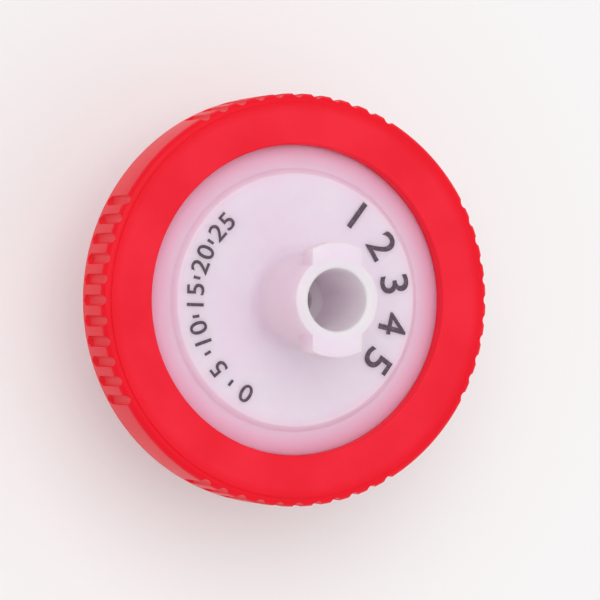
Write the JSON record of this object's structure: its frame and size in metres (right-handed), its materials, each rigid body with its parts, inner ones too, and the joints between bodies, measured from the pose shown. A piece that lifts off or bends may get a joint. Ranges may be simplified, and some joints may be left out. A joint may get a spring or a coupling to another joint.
{
  "type": "syringe filter",
  "caption": "Disc filter for a syringe: a milky plastic housing round a membrane, with a ribbed grip ring, a locking inlet hub and a plain tapered outlet tip.",
  "frame": {"origin": "centre of the outlet tip's end face, on the flow axis", "axes": "+Z along the flow axis, from the outlet to the inlet; +X through one locking lug"},
  "size_m": [0.029, 0.029, 0.0214],
  "materials": {
    "milky_polypropylene": "translucent milky moulding with a satin gloss",
    "membrane_white": "matt white filter membrane",
    "red_polypropylene": "red moulding with a satin gloss",
    "printed_ink": "thin matt print on the raised centre of the inlet face"
  },
  "bodies": {
    "root": {"outlet_housing": "milky_polypropylene", "membrane": "membrane_white", "inlet_housing": "milky_polypropylene", "grip_ring": "red_polypropylene"}
  },
  "joints": []
}
